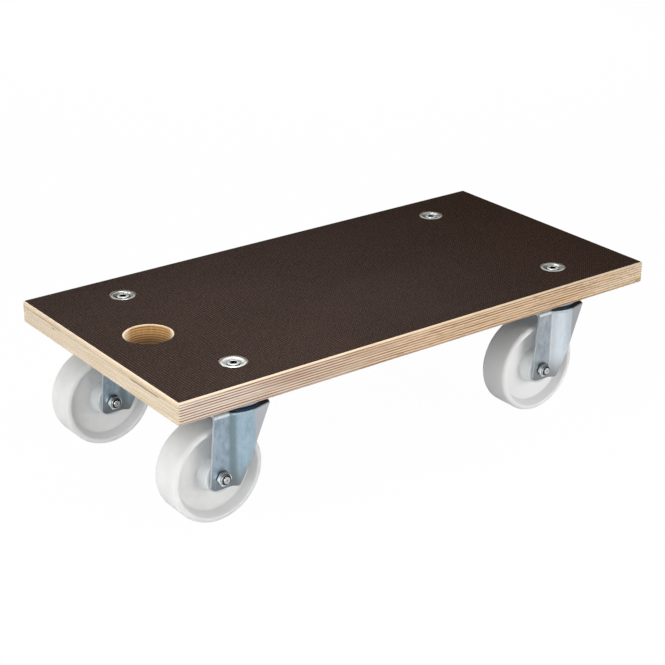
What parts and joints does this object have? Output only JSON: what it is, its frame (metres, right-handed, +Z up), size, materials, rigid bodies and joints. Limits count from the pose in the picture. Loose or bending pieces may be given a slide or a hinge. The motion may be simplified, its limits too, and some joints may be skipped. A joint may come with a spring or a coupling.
{
  "type": "wooden transport dolly",
  "caption": "Flat film-faced plywood deck with a grip hole, bolted to swivel castors with solid white nylon wheels, for rolling furniture and crates.",
  "frame": {"origin": "on the floor under the middle of the deck", "axes": "+X along the deck, away from the grip hole; +Y across the deck, away from the axle nuts; +Z up"},
  "size_m": [0.59, 0.295, 0.153],
  "materials": {
    "birch_plywood": "cut and sanded plywood edge",
    "phenolic_film": "dark brown screen-pressed anti-slip film",
    "bright_zinc": "bright zinc plate",
    "zinc_sheet": "blue-passivated zinc plate on pressed sheet",
    "ball_steel": "polished ball steel, greased",
    "white_nylon": "smooth moulded nylon"
  },
  "bodies": {
    "deck": {"plywood_core": "birch_plywood", "top_film": "phenolic_film", "bottom_film": "phenolic_film", "rosette_washers": "bright_zinc", "mount_bolts": "bright_zinc", "mount_washers": "bright_zinc", "mount_nuts": "bright_zinc", "front_left_bearing_cap": "zinc_sheet", "front_left_king_rivet": "zinc_sheet", "front_left_lower_race": "zinc_sheet", "front_right_bearing_cap": "zinc_sheet", "front_right_king_rivet": "zinc_sheet", "front_right_lower_race": "zinc_sheet", "back_left_bearing_cap": "zinc_sheet", "back_left_king_rivet": "zinc_sheet", "back_left_lower_race": "zinc_sheet", "back_right_bearing_cap": "zinc_sheet", "back_right_king_rivet": "zinc_sheet", "back_right_lower_race": "zinc_sheet"},
    "front_left_ball_set": {"front_left_upper_balls": "ball_steel", "front_left_lower_balls": "ball_steel"},
    "front_left_swivel_fork": {"front_left_fork": "zinc_sheet", "front_left_axle_tube": "bright_zinc", "front_left_axle_bolt": "bright_zinc", "front_left_axle_nut": "bright_zinc"},
    "front_left_roller": {"front_left_wheel": "white_nylon"},
    "front_right_ball_set": {"front_right_upper_balls": "ball_steel", "front_right_lower_balls": "ball_steel"},
    "front_right_swivel_fork": {"front_right_fork": "zinc_sheet", "front_right_axle_tube": "bright_zinc", "front_right_axle_bolt": "bright_zinc", "front_right_axle_nut": "bright_zinc"},
    "front_right_roller": {"front_right_wheel": "white_nylon"},
    "back_left_ball_set": {"back_left_upper_balls": "ball_steel", "back_left_lower_balls": "ball_steel"},
    "back_left_swivel_fork": {"back_left_fork": "zinc_sheet", "back_left_axle_tube": "bright_zinc", "back_left_axle_bolt": "bright_zinc", "back_left_axle_nut": "bright_zinc"},
    "back_left_roller": {"back_left_wheel": "white_nylon"},
    "back_right_ball_set": {"back_right_upper_balls": "ball_steel", "back_right_lower_balls": "ball_steel"},
    "back_right_swivel_fork": {"back_right_fork": "zinc_sheet", "back_right_axle_tube": "bright_zinc", "back_right_axle_bolt": "bright_zinc", "back_right_axle_nut": "bright_zinc"},
    "back_right_roller": {"back_right_wheel": "white_nylon"}
  },
  "joints": [
    {"name": "front_left_swivel", "type": "hinge", "parent": "deck", "child": "front_left_swivel_fork", "pos_m": [-0.205, -0.101, 0.1295], "axis": [0, 0, 1], "continuous": true},
    {"name": "front_left_ball_orbit", "type": "hinge", "parent": "deck", "child": "front_left_ball_set", "pos_m": [-0.205, -0.101, 0.1295], "axis": [0, 0, 1], "continuous": true},
    {"name": "front_left_wheel_spin", "type": "hinge", "parent": "front_left_swivel_fork", "child": "front_left_roller", "pos_m": [-0.235, -0.101, 0.05], "axis": [0, 1, 0], "continuous": true},
    {"name": "front_right_swivel", "type": "hinge", "parent": "deck", "child": "front_right_swivel_fork", "pos_m": [0.205, -0.101, 0.1295], "axis": [0, 0, 1], "continuous": true},
    {"name": "front_right_ball_orbit", "type": "hinge", "parent": "deck", "child": "front_right_ball_set", "pos_m": [0.205, -0.101, 0.1295], "axis": [0, 0, 1], "continuous": true},
    {"name": "front_right_wheel_spin", "type": "hinge", "parent": "front_right_swivel_fork", "child": "front_right_roller", "pos_m": [0.175, -0.101, 0.05], "axis": [0, 1, 0], "continuous": true},
    {"name": "back_left_swivel", "type": "hinge", "parent": "deck", "child": "back_left_swivel_fork", "pos_m": [-0.205, 0.101, 0.1295], "axis": [0, 0, 1], "continuous": true},
    {"name": "back_left_ball_orbit", "type": "hinge", "parent": "deck", "child": "back_left_ball_set", "pos_m": [-0.205, 0.101, 0.1295], "axis": [0, 0, 1], "continuous": true},
    {"name": "back_left_wheel_spin", "type": "hinge", "parent": "back_left_swivel_fork", "child": "back_left_roller", "pos_m": [-0.235, 0.101, 0.05], "axis": [0, 1, 0], "continuous": true},
    {"name": "back_right_swivel", "type": "hinge", "parent": "deck", "child": "back_right_swivel_fork", "pos_m": [0.205, 0.101, 0.1295], "axis": [0, 0, 1], "continuous": true},
    {"name": "back_right_ball_orbit", "type": "hinge", "parent": "deck", "child": "back_right_ball_set", "pos_m": [0.205, 0.101, 0.1295], "axis": [0, 0, 1], "continuous": true},
    {"name": "back_right_wheel_spin", "type": "hinge", "parent": "back_right_swivel_fork", "child": "back_right_roller", "pos_m": [0.175, 0.101, 0.05], "axis": [0, 1, 0], "continuous": true}
  ],
  "couplings": [
    {"joint": "front_left_ball_orbit", "follows": "front_left_swivel", "ratio": 0.5},
    {"joint": "front_right_ball_orbit", "follows": "front_right_swivel", "ratio": 0.5},
    {"joint": "back_left_ball_orbit", "follows": "back_left_swivel", "ratio": 0.5},
    {"joint": "back_right_ball_orbit", "follows": "back_right_swivel", "ratio": 0.5}
  ]
}
